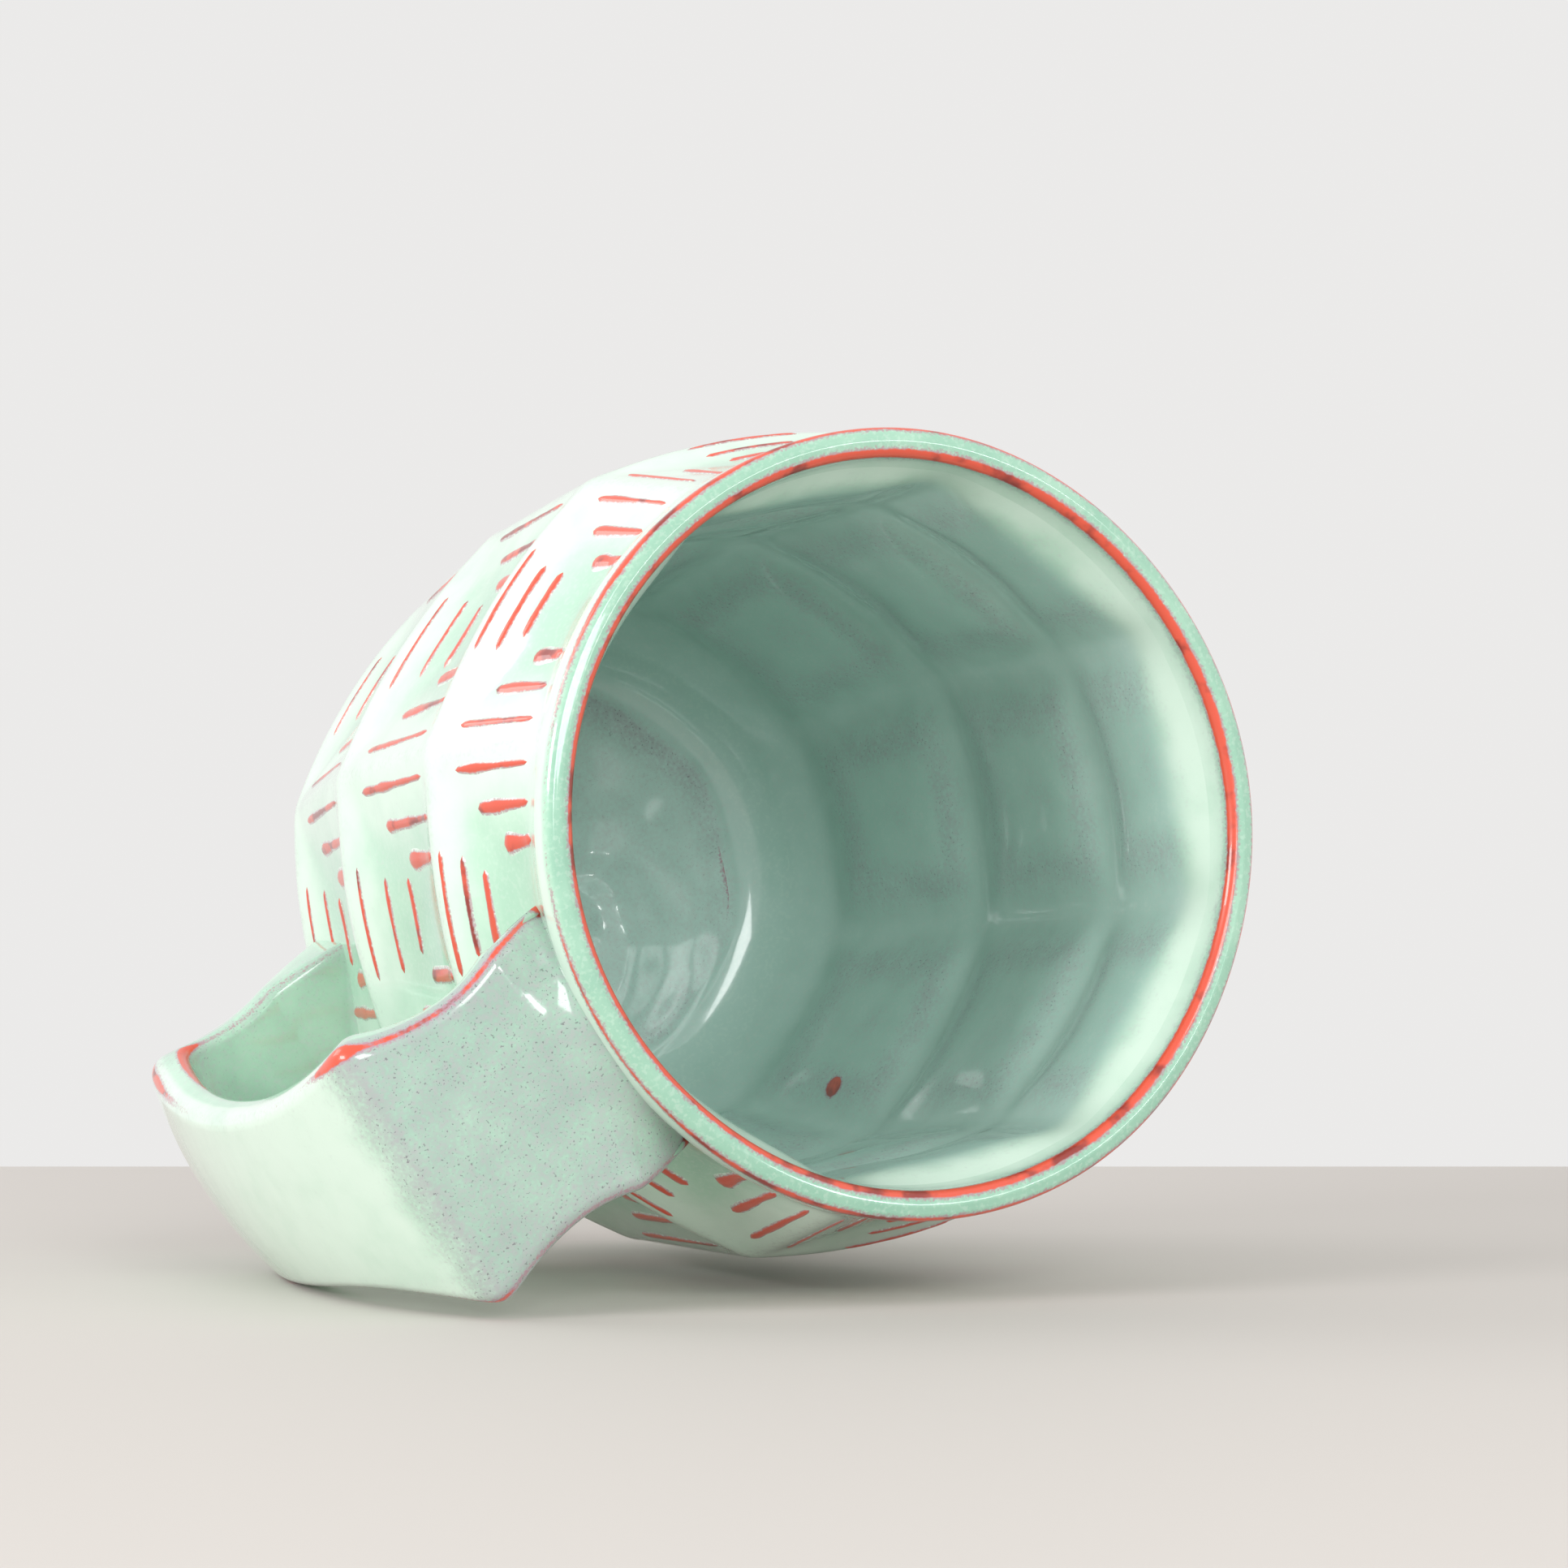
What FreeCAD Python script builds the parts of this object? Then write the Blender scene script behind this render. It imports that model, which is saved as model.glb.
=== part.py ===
"""A large faceted barrel mug in glazed red clay, with a folded strap handle.

Seven bodies meet face to face: the faceted wall, the rim band, the floor disc, the foot ring, the
handle strap and the two slip joints that hold the strap to the wall.
Millimetres, +Z up to the mouth, handle towards +X, origin at the centre of the foot's underside.
"""

import FreeCAD
import Part

import math
import os

Vector = FreeCAD.Vector

# Overall sizes
HEIGHT = 108.0
RIM_RADIUS = 45.0
LIP_HEIGHT = 4.0
LIP_WIDTH = 3.4
LIP_ROUND = 1.1

# Faceted wall: eight columns of cells, with a ridge line on the handle's own direction
COLUMNS = 8
ROUND_STEPS = 4  # straight edges that each column has along the round rim and foot
ARC_HEIGHTS = (82.0, 48.5, 15.5)  # the three rings of ridges that go round the wall, from the top
RIDGE_RADII = (50.2, 48.2, 42.2)  # outside radius where those rings cross the upright ridges
SPAN_RADII = (48.6, 46.6, 40.8)  # outside radius half way between two crossings
VALLEY_RADII = (41.6, 42.0, 36.6)  # inside radius behind a crossing, where clay fills the ridge
VALLEY_SPAN_RADII = (40.4, 40.8, 35.4)
CELL_DISH = 3.0  # how far the middle of a cell is sunk below its edges, outside the mug
CELL_SWELL = 1.2  # how far it stands into the mug, on the inside

# Base
FOOT_HEIGHT = 2.5
FOOT_OUTER = 33.5
FOOT_INNER = 27.5
SKIRT_RADIUS = 34.5
FLOOR_TOP = 5.5
FLOOR_RADIUS = 30.0

# Handle strap: side view (x, z) of the outer face, then its thickness
STRAP_THICKNESS = 4.6
SHOULDER = (70.5, 103.2)
GRIP_MIDDLE = (75.0, 68.0)
ELBOW = (66.8, 26.4)
STRAP_TOP = 104.0  # where the top panel leaves the rim band
STRAP_BOTTOM = 24.0  # where the bottom panel meets the wall
UPPER_SEAM = 50.0  # x of the flat faces between the strap and its joints
LOWER_SEAM = 49.5

# Handle strap: half widths, wide at the folds and drawn in between them
ROOT_HALF_WIDTH = 18.4
TOP_WAIST = 14.3
SHOULDER_HALF_WIDTH = 16.9
GRIP_WAIST = 12.0
ELBOW_HALF_WIDTH = 15.2
LOWER_WAIST = 12.6
LOWER_HALF_WIDTH = 15.0

# Slip joints
JOINT_ROOT_X = 33.0  # inside the wall, so that the wall's own surface trims the joint
UPPER_JOINT_DROP = 4.0
LOWER_JOINT_SPREAD = 3.2

PARTS = "parts"


def rim_height():
    """Height at which the wall stops and the rim band begins."""
    return HEIGHT - LIP_HEIGHT


def polar(radius, turn, z):
    """Point at a radius and height, with the turn counted in columns from the handle."""
    angle = 2 * math.pi * turn / COLUMNS
    return Vector(radius * math.cos(angle), radius * math.sin(angle), z)


def ring(radii, z, steps):
    """Points round the mug, taking each radius in turn, with a number of steps in each column."""
    return [polar(radii[k % len(radii)], k / steps, z) for k in range(COLUMNS * steps)]


def column_edge(points, column):
    """Points of one column's share of a ring, both ends included."""
    steps = len(points) // COLUMNS
    return [points[(column * steps + k) % len(points)] for k in range(steps + 1)]


def radius_of(point):
    """Distance of a point from the mug's axis."""
    return math.hypot(point.x, point.y)


def cell(upper, lower, column, push):
    """Triangles from a cell's peak to its outline; `push` moves the peak out from between the edges."""
    top, bottom = upper[len(upper) // 2], lower[len(lower) // 2]
    peak_radius = (radius_of(top) + radius_of(bottom)) / 2 + push
    peak = polar(peak_radius, column + 0.5, (top.z + bottom.z) / 2)
    outline = upper + lower[::-1]
    pairs = zip(outline, outline[1:] + outline[:1])
    return [Part.Face(Part.makePolygon([peak, a, b, peak])) for a, b in pairs]


def faceted_solid(top_radius, crossings, spans, bottom_radius, bottom_z, push):
    """Closed solid with round ends, three rows of low pyramids and a plain taper to the base."""
    rings = [ring([top_radius], rim_height(), ROUND_STEPS)]
    rings += [ring(pair, z, 2) for *pair, z in zip(crossings, spans, ARC_HEIGHTS)]
    rings += [ring([bottom_radius], bottom_z, ROUND_STEPS)]
    pushes = [push] * len(ARC_HEIGHTS) + [0]
    faces = [Part.Face(Part.makePolygon(end + end[:1])) for end in (rings[0], rings[-1])]
    for column in range(COLUMNS):
        for upper, lower, depth in zip(rings, rings[1:], pushes):
            faces += cell(column_edge(upper, column), column_edge(lower, column), column, depth)
    return Part.Solid(Part.Shell(faces))


def wall_outside():
    """The wall's outer shape, filled in."""
    return faceted_solid(
        RIM_RADIUS, RIDGE_RADII, SPAN_RADII, SKIRT_RADIUS, FOOT_HEIGHT, -CELL_DISH
    )


def body_wall():
    """Faceted wall, open at the mouth and bored at the base for the floor disc."""
    inside = faceted_solid(
        RIM_RADIUS - LIP_WIDTH, VALLEY_RADII, VALLEY_SPAN_RADII, FLOOR_RADIUS, FLOOR_TOP, -CELL_SWELL
    )
    bore = Part.makeCylinder(FLOOR_RADIUS, FLOOR_TOP - FOOT_HEIGHT, Vector(0, 0, FOOT_HEIGHT))
    return wall_outside().cut(inside).cut(bore)


def rim_band():
    """Round lip with a flat top and two softened edges."""
    inner = RIM_RADIUS - LIP_WIDTH
    band = Part.makeCylinder(RIM_RADIUS, LIP_HEIGHT, Vector(0, 0, rim_height()))
    band = band.cut(Part.makeCylinder(inner, LIP_HEIGHT, Vector(0, 0, rim_height())))
    top_edges = [e for e in band.Edges if len(e.Vertexes) == 1 and e.Vertexes[0].Z > HEIGHT - 0.01]
    return band.makeFillet(LIP_ROUND, top_edges)


def floor_disc():
    """Flat floor of the cup."""
    return Part.makeCylinder(FLOOR_RADIUS, FLOOR_TOP - FOOT_HEIGHT, Vector(0, 0, FOOT_HEIGHT))


def foot_ring():
    """Bare clay ring that the mug stands on."""
    foot = Part.makeCylinder(FOOT_OUTER, FOOT_HEIGHT)
    foot = foot.cut(Part.makeCylinder(FOOT_INNER, FOOT_HEIGHT))
    lower_edges = [e for e in foot.Edges if len(e.Vertexes) == 1 and e.Vertexes[0].Z < 0.01]
    return foot.makeFillet(0.6, lower_edges)


def side_point(point):
    """A side-view (x, z) pair as a point on the handle's middle plane."""
    return Vector(point[0], 0, point[1])


def inset(point, dx, dz):
    """The inner face's point beside an outer one."""
    return (point[0] + dx, point[1] + dz)


def prism(points):
    """Straight-sided side-view outline, widened to the strap's greatest width."""
    face = Part.Face(Part.makePolygon([side_point(p) for p in points + points[:1]]))
    return widen(face)


def widen(face):
    """A side-view face drawn out across the handle."""
    face.translate(Vector(0, -ROOT_HALF_WIDTH, 0))
    return face.extrude(Vector(0, 2 * ROOT_HALF_WIDTH, 0))


def waisted(stations, place, thrust):
    """Block with two hollow sides: `stations` are three (distance, half width) pairs."""
    near, waist, far = stations
    left = [place(distance, half) for distance, half in (near, waist, far)]
    right = [place(distance, -half) for distance, half in (far, waist, near)]
    edges = [
        Part.Arc(*left).toShape(),
        Part.LineSegment(left[-1], right[0]).toShape(),
        Part.Arc(*right).toShape(),
        Part.LineSegment(right[-1], left[0]).toShape(),
    ]
    return Part.Face(Part.Wire(edges)).extrude(thrust)


def flat_panel(points, stations):
    """Level panel of the strap, waisted in the plan view."""
    lowest = min(z for _, z in points) - 1
    highest = max(z for _, z in points) + 1
    block = waisted(stations, lambda x, y: Vector(x, y, lowest), Vector(0, 0, highest - lowest))
    return prism(points).common(block)


def grip_panel(shoulder_inner, elbow_inner):
    """Upright bowed panel that the fingers close on, waisted in the end view."""
    middle_inner = inset(GRIP_MIDDLE, -STRAP_THICKNESS, 0)
    edges = [
        Part.Arc(*[side_point(p) for p in (SHOULDER, GRIP_MIDDLE, ELBOW)]).toShape(),
        Part.LineSegment(side_point(ELBOW), side_point(elbow_inner)).toShape(),
        Part.Arc(*[side_point(p) for p in (elbow_inner, middle_inner, shoulder_inner)]).toShape(),
        Part.LineSegment(side_point(shoulder_inner), side_point(SHOULDER)).toShape(),
    ]
    stations = (
        (SHOULDER[1], SHOULDER_HALF_WIDTH),
        (GRIP_MIDDLE[1], GRIP_WAIST),
        (ELBOW[1], ELBOW_HALF_WIDTH),
    )
    near = elbow_inner[0] - 1
    reach = GRIP_MIDDLE[0] + 1 - near
    block = waisted(stations, lambda z, y: Vector(near, y, z), Vector(reach, 0, 0))
    return widen(Part.Face(Part.Wire(edges))).common(block)


def handle_slab():
    """Strap in three panels, folded at the shoulder and at the elbow."""
    shoulder_inner = inset(SHOULDER, -4.1, -STRAP_THICKNESS)
    elbow_inner = inset(ELBOW, -3.7, STRAP_THICKNESS + 0.4)
    seam_top = (UPPER_SEAM, STRAP_TOP)
    seam_bottom = (LOWER_SEAM, STRAP_BOTTOM)
    top = flat_panel(
        [seam_top, SHOULDER, shoulder_inner, inset(seam_top, 0, -STRAP_THICKNESS)],
        (
            (RIM_RADIUS - 2, ROOT_HALF_WIDTH),
            ((RIM_RADIUS + SHOULDER[0]) / 2, TOP_WAIST),
            (SHOULDER[0], SHOULDER_HALF_WIDTH),
        ),
    )
    bottom = flat_panel(
        [ELBOW, seam_bottom, inset(seam_bottom, 0, STRAP_THICKNESS), elbow_inner],
        (
            (RIM_RADIUS - 2, LOWER_HALF_WIDTH),
            ((RIM_RADIUS + ELBOW[0]) / 2, LOWER_WAIST),
            (ELBOW[0], ELBOW_HALF_WIDTH),
        ),
    )
    grip = grip_panel(shoulder_inner, elbow_inner)
    return top.multiFuse([grip, bottom]).removeSplitter()


def seam_outline(strap, x):
    """Width and height of the strap's flat end at one seam."""
    ends = [face for face in strap.Faces if face.BoundBox.XLength < 1e-6 and abs(face.BoundBox.XMin - x) < 1e-6]
    return ends[0].BoundBox


def flared_joint(box, x, root_half, root_low, root_high):
    """Slip joint: the strap's end section, opening out until the wall's surface trims it."""
    def section(at, half, low, high):
        corners = [Vector(at, y, z) for y, z in ((-half, low), (half, low), (half, high), (-half, high))]
        return Part.makePolygon(corners + corners[:1])

    seam = section(x, box.YLength / 2, box.ZMin, box.ZMax)
    root = section(JOINT_ROOT_X, root_half, root_low, root_high)
    block = Part.makeLoft([root, seam], True, True)
    pieces = block.cut(wall_outside()).Solids
    return max(pieces, key=lambda piece: piece.Volume)


def handle_joints(strap):
    """The upper joint drops below the strap; the lower one spreads both ways."""
    upper = seam_outline(strap, UPPER_SEAM)
    lower = seam_outline(strap, LOWER_SEAM)
    return {
        "upper_handle_joint": flared_joint(
            upper, UPPER_SEAM, ROOT_HALF_WIDTH, upper.ZMin - UPPER_JOINT_DROP, STRAP_TOP
        ),
        "lower_handle_joint": flared_joint(
            lower, LOWER_SEAM, LOWER_HALF_WIDTH,
            lower.ZMin - LOWER_JOINT_SPREAD, lower.ZMax + LOWER_JOINT_SPREAD,
        ),
    }


def main():
    os.makedirs(PARTS, exist_ok=True)
    strap = handle_slab()
    nodes = {
        "body_wall": body_wall(),
        "rim_band": rim_band(),
        "floor_disc": floor_disc(),
        "foot_ring": foot_ring(),
        "handle_slab": strap,
    }
    nodes.update(handle_joints(strap))
    for name, shape in nodes.items():
        solid = shape.Solids[0]
        print(name, len(shape.Solids), solid.isValid(), round(solid.Volume / 1000, 2), solid.BoundBox)
        solid.exportStep(os.path.join(PARTS, name + ".step"))


main()
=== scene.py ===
"""A faceted barrel mug in breaking mint glaze over red clay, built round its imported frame.

The cup's skin is worked out from its rings of ridges and valleys, then cut into the wall, the rim
band and the floor where the solids meet. The handle is one strap, swept through two folds and drawn
out to the wall at both ends. Geometry functions work in millimetres; meshes are made in metres.
"""

import math
from functools import partial
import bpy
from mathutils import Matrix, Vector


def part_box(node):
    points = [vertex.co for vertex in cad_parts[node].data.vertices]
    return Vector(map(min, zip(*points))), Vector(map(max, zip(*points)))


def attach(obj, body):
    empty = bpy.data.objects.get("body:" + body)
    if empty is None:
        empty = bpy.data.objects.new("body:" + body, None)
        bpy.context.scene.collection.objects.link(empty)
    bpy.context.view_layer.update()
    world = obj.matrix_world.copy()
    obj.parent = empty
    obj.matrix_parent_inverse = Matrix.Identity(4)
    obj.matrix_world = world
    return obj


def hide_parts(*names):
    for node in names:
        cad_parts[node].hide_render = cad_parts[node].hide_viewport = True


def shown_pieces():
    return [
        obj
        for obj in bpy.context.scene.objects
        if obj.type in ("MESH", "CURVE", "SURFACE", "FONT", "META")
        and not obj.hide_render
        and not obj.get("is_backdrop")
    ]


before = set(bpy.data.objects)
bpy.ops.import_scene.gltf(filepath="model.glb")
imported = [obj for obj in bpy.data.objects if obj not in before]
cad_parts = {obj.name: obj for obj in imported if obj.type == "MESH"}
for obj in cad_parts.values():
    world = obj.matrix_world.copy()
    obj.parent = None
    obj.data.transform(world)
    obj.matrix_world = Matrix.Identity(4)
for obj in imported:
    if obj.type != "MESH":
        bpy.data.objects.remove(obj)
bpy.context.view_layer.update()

from types import SimpleNamespace

import bpy
import numpy as np
from mathutils import Matrix, Vector

bl_info = {
    "name": "Faceted Glazed Mug",
    "version": (1, 0, 0),
    "blender": (4, 5, 0),
    "location": "3D Viewport > Sidebar > Mug",
    "description": "Makes a faceted barrel mug with a folded strap handle and a breaking glaze",
    "category": "Add Mesh",
}

MM = 0.001
TAU = 2 * math.pi
COLUMNS = 8  # cells round the mug; a ridge line lies on the handle's own direction
COLUMN_SAMPLES = 160  # samples of a skin across one column
SKIN_STEP = 0.25  # height between two samples of a skin
SKIN_PAD = 10.0  # how far a skin is worked out past its top and bottom

GLAZE = "mint_breaking_glaze"
CLAY = "bare_red_clay"
STROKE_SKIRT = 1.75  # how many times wider than its bare crest a stroke's mound is
STROKE_SINK = 0.07  # how far a stroke's skirts are pressed into the wall
UNBROKEN = 4.0  # distance from a break at which the glaze lies whole
SPOT_TURN, SPOT_HEIGHT, SPOT_RADIUS = 2.17, 36.3, 1.5  # red spot in the cup, where the glaze drew back

rim_low, rim_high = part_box("rim_band")
foot_high, floor_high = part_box("foot_ring")[1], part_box("floor_disc")[1]


# Settings


def number(name, description, default, **limits):
    """A plain number that the user may change."""
    return bpy.props.FloatProperty(name=name, description=description, default=default, **limits)


def length(name, description, default):
    """A length that the user may change."""
    return number(name, description, default, min=0, unit="LENGTH", subtype="DISTANCE")


def vector(name, description, default, **kind):
    """Three numbers that the user may change."""
    return bpy.props.FloatVectorProperty(name=name, description=description, default=default, size=3, **kind)


def three_lengths(name, description, default):
    """One length for each of the three rings round the wall, from the top."""
    return vector(name, description, default, unit="LENGTH")


def power(name, description, default):
    """The power of one of the stage's lights."""
    return number(name, description, default, unit="POWER")


def colour(name, description, default):
    """An sRGB colour written as six hex digits."""
    return bpy.props.StringProperty(name=name, description=description, default=default)


class MugSizes(bpy.types.PropertyGroup):
    height: length("Height", "Foot to lip", rim_high.z)
    rim_radius: length("Rim radius", "Outside radius of the lip", rim_high.x)
    lip_base: length("Lip base", "Height at which the rim band begins", rim_low.z)
    lip_width: length("Lip width", "Thickness of the lip", 0.0034)
    lip_round: length("Lip rounding", "Radius of the lip's two edges", 0.0012)
    ring_heights: three_lengths("Ring heights", "Heights of the rings of ridges", (0.082, 0.0485, 0.0155))
    ridge_radii: three_lengths("Ridge radii", "Outside radius where ridges cross", (0.0502, 0.0482, 0.0422))
    span_radii: three_lengths("Span radii", "Outside radius between crossings", (0.0486, 0.0466, 0.0408))
    valley_radii: three_lengths("Valley radii", "Inside radius behind a crossing", (0.0416, 0.0420, 0.0366))
    valley_spans: three_lengths("Valley spans", "Inside radius between crossings", (0.0406, 0.0410, 0.0356))
    cell_dish: length("Cell dish", "How far a cell's middle is sunk on the outside", 0.0030)
    cell_swell: length("Cell swell", "How far a cell stands into the mug", 0.0029)
    ridge_round: length("Ridge rounding", "Spread of the softened ridges outside", 0.0010)
    valley_round: length("Valley rounding", "Spread of the softened valleys inside", 0.0018)
    skirt_radius: length("Skirt radius", "Outside radius of the wall at the foot", 0.0345)
    foot_height: length("Foot height", "Height of the bare clay ring", foot_high.z)
    foot_outer: length("Foot outer radius", "Outside radius of the foot ring", foot_high.x)
    foot_inner: length("Foot inner radius", "Inside radius of the foot ring", 0.0275)
    floor_top: length("Floor height", "Height of the cup's floor", floor_high.z)
    floor_radius: length("Floor radius", "Radius of the floor disc", floor_high.x)
    floor_fillet: length("Floor fillet", "Reach of the hollow between wall and floor", 0.0042)


class HandleSizes(bpy.types.PropertyGroup):
    thickness: length("Thickness", "Thickness of the strap", 0.0046)
    edge_round: length("Edge rounding", "Radius of the strap's edges", 0.0018)
    fold_round: length("Fold rounding", "Spread of the softened folds", 0.0017)
    shoulder_x: length("Shoulder reach", "Outer fold's distance from the axis, at the top", 0.0705)
    shoulder_z: length("Shoulder height", "Height of the upper fold", 0.1032)
    grip_x: length("Grip reach", "Distance of the grip's middle from the axis", 0.0750)
    grip_z: length("Grip height", "Height of the grip's middle", 0.0680)
    elbow_x: length("Elbow reach", "Outer fold's distance from the axis, at the bottom", 0.0668)
    elbow_z: length("Elbow height", "Height of the lower fold", 0.0264)
    seam_top_z: length("Upper seam height", "Height of the strap's top at its upper seam", 0.1040)
    seam_low_z: length("Lower seam height", "Height of the strap's underside at its lower seam", 0.0240)
    upper_seam: length("Upper seam", "Distance of the upper seam from the axis", 0.0500)
    lower_seam: length("Lower seam", "Distance of the lower seam from the axis", 0.0495)
    seam_half: length("Seam half width", "Half width of the strap at the upper seam", 0.01565)
    top_waist: length("Top waist", "Half width of the top panel's waist", 0.0143)
    shoulder_half: length("Shoulder half width", "Half width at the upper fold", 0.0171)
    grip_waist: length("Grip waist", "Half width of the grip's waist", 0.0120)
    elbow_half: length("Elbow half width", "Half width at the lower fold", 0.0158)
    lower_waist: length("Lower waist", "Half width of the lower panel's waist", 0.0143)
    lower_half: length("Lower seam half width", "Half width of the strap at the lower seam", 0.0149)
    crown_shoulder: length("Shoulder crown", "How far the upper fold's middle stands proud", 0.0008)
    crown_elbow: length("Elbow crown", "How far the lower fold's middle stands proud", 0.0026)


class StrokeSettings(bpy.types.PropertyGroup):
    longest: number(
        "Longest stroke", "Share of the cell's height that the longest stroke takes", 0.71,
        min=0.1, max=0.9, subtype="FACTOR",
    )
    width: length("Stroke width", "Width of the longest stroke's bare ridge", 0.00095)
    rise: length("Stroke rise", "Height of a stroke's crest over the wall", 0.00030)
    spacing: length("Ring spacing", "Distance between two rings of a stroke's mesh", 0.0006)
    wobble: number(
        "Wobble", "How much a stroke's width varies along it", 0.45, min=0, max=1, subtype="FACTOR"
    )
    seed: bpy.props.IntProperty(name="Seed", description="Choice of the strokes' uneven ends", default=4)


class GlazeColours(bpy.types.PropertyGroup):
    pale: colour("Pale mint", "Glaze where it lies thin over a ridge", "DAEFE0")
    mint: colour("Mint", "Glaze of ordinary thickness", "B3DAC2")
    deep: colour("Deep green", "Glaze that has pooled in a hollow", "8FBFA7")
    celadon: colour("Celadon", "Bluer glaze inside the cup, where the kiln's air hardly moved", "B2CFCC")
    grey: colour("Grey violet", "Thin glaze with the clay showing through", "A7A4A9")
    fringe: colour("Fringe", "Purple edge of a break", "B07A8E")
    ember: colour("Ember", "Middle of a break, where the glaze runs off", "DB5239")
    rust: colour("Rust", "Darker clay at a thin or shaded break", "8E2B22")
    fleck: colour("Fleck", "Iron specks in the glaze", "5B4258")
    clay: colour("Red clay", "Unglazed fired clay", "A4583F")
    clay_dark: colour("Dark clay", "Toasted edge of the unglazed clay", "6E3526")


class StageSettings(bpy.types.PropertyGroup):
    lens: number("Lens", "Focal length on a 36 mm sensor", 102.4, min=10, unit="CAMERA")
    camera_at: vector("Camera", "Camera position", (0.2150, -0.0973, 0.5529), unit="LENGTH")
    camera_look: vector("View", "Direction that the camera looks in", (-0.410, 0.171, -0.896))
    camera_up: vector("Up", "Direction that is up in the view", (-0.539, -0.838, 0.086))
    floor_pitch: number(
        "Floor pitch", "Angle between the view and the floor", math.radians(-1.5),
        unit="ROTATION", subtype="ANGLE",
    )
    floor_depth: length("Floor depth", "How far the floor runs behind the mug", 0.22)
    floor_colour: colour("Floor", "Plain pale floor", "C9C4BF")
    key_power: power("Key light", "Large light on the left", 1.8)
    front_power: power("Front light", "Soft light from the left that reaches into the cup", 5.4)
    cup_power: power("Cup light", "Soft light that reaches the cup's floor", 2.9)
    fill_power: power("Fill light", "Soft light on the right", 0.6)
    window_power: power("Window", "Narrow light that the inside mirrors", 0.8)
    sky: number("Sky", "Strength of the pale surroundings", 0.92, min=0)
    sky_colour: colour("Sky colour", "Pale surroundings", "F4F3F2")


def in_mm(group):
    """A property group's lengths in millimetres, as plain numbers and arrays."""
    lengths = {}
    for name in type(group).__annotations__:
        value = getattr(group, name)
        lengths[name] = value / MM if isinstance(value, float) else np.array(value) / MM
    return SimpleNamespace(**lengths)


# Sampled surfaces


def gauss(x, spread):
    """Bell curve that is 1 at zero."""
    return np.exp(-0.5 * (np.asarray(x) / spread) ** 2)


def rise(x, start, end):
    """Smooth step from 0 at the start to 1 at the end."""
    t = np.clip((np.asarray(x, float) - start) / (end - start), 0, 1)
    return t * t * (3 - 2 * t)


def bell(spread):
    """Weights of a Gaussian blur, and how many samples it reaches to each side."""
    reach = int(3 * spread) + 1
    return gauss(np.arange(-reach, reach + 1), spread), reach


def soften(field, spreads):
    """Gaussian blur of a skin that runs on past its ends and repeats round the mug."""
    for axis, (spread, beyond) in enumerate(zip(spreads, ("edge", "wrap"))):
        weights, reach = bell(spread)
        pad = [(0, 0), (0, 0)]
        pad[axis] = (reach, reach)
        padded = np.pad(field, pad, mode=beyond)
        count = field.shape[axis]
        shifted = (w * np.take(padded, np.arange(k, k + count), axis) for k, w in enumerate(weights))
        field = sum(shifted) / weights.sum()
    return field


class Skin:
    """One side of the wall: its radius at any turn and height, with every fold softened."""

    def __init__(self, heights, crossings, spans, push, sharpness, rounding):
        self.heights = np.array(heights, float)
        self.crossings, self.spans = np.array(crossings, float), np.array(spans, float)
        self.low = heights[-1] - SKIN_PAD
        z = np.arange(self.low, heights[0] + SKIN_PAD, SKIN_STEP)
        u, z = np.meshgrid(np.arange(COLUMN_SAMPLES) / COLUMN_SAMPLES, z)
        dish = 1 - (1 - self.depth(u, z)) ** sharpness
        column_step = TAU * self.crossings.mean() / COLUMNS / COLUMN_SAMPLES
        spreads = (rounding / SKIN_STEP, rounding / column_step)
        self.field = soften(self.edge_radius(u, z) + push * dish, spreads)

    def place(self, turn, z):
        """Row of cells at a height, how far down it the height is, and how far across the column."""
        row = np.clip(np.searchsorted(-self.heights, -np.asarray(z, float), side="right") - 1, 0, 3)
        drop = (self.heights[row] - z) / (self.heights[row] - self.heights[row + 1])
        return row, np.clip(drop, 0, 1), np.mod(turn, 1)

    def edge_radius(self, turn, z):
        """Radius of the skin before its cells are sunk or swollen."""
        row, v, u = self.place(turn, z)
        bow = 4 * u * (1 - u)
        rings = [self.crossings[k] + (self.spans[k] - self.crossings[k]) * bow for k in (row, row + 1)]
        return rings[0] + (rings[1] - rings[0]) * v

    def depth(self, turn, z):
        """How far into its cell a point lies: 0 on a ridge and nearly 1 at the deepest."""
        row, v, u = self.place(turn, z)
        nearness = [np.minimum(u, 1 - u) * 2, v / 0.34, (1 - v) / 0.66]
        total = sum(np.maximum(n, 1e-3) ** -6.0 for n in nearness)
        return np.where(row < 3, total ** (-1 / 6.0), 0)

    def radius(self, turn, z):
        """Radius of the softened skin."""
        column = np.mod(turn, 1) * COLUMN_SAMPLES
        level = (np.asarray(z, float) - self.low) / SKIN_STEP
        j, i = np.floor(column).astype(int), np.floor(level).astype(int)
        across, up = column - j, level - i
        j, k = j % COLUMN_SAMPLES, (j + 1) % COLUMN_SAMPLES
        lower = self.field[i, j] * (1 - across) + self.field[i, k] * across
        upper = self.field[i + 1, j] * (1 - across) + self.field[i + 1, k] * across
        return lower * (1 - up) + upper * up


def outside_skin(s):
    """The wall's outer skin."""
    return Skin(
        [s.lip_base, *s.ring_heights, s.foot_height],
        [s.rim_radius, *s.ridge_radii, s.skirt_radius],
        [s.rim_radius, *s.span_radii, s.skirt_radius],
        -s.cell_dish, 1.6, s.ridge_round,
    )


def inside_skin(s):
    """The wall's inner skin, whose cells stand into the mug like pillows."""
    inner = s.rim_radius - s.lip_width
    return Skin(
        [s.lip_base, *s.ring_heights, s.floor_top],
        [inner, *s.valley_radii, s.floor_radius],
        [inner, *s.valley_spans, s.floor_radius],
        -s.cell_swell, 3.0, s.valley_round,
    )


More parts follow.
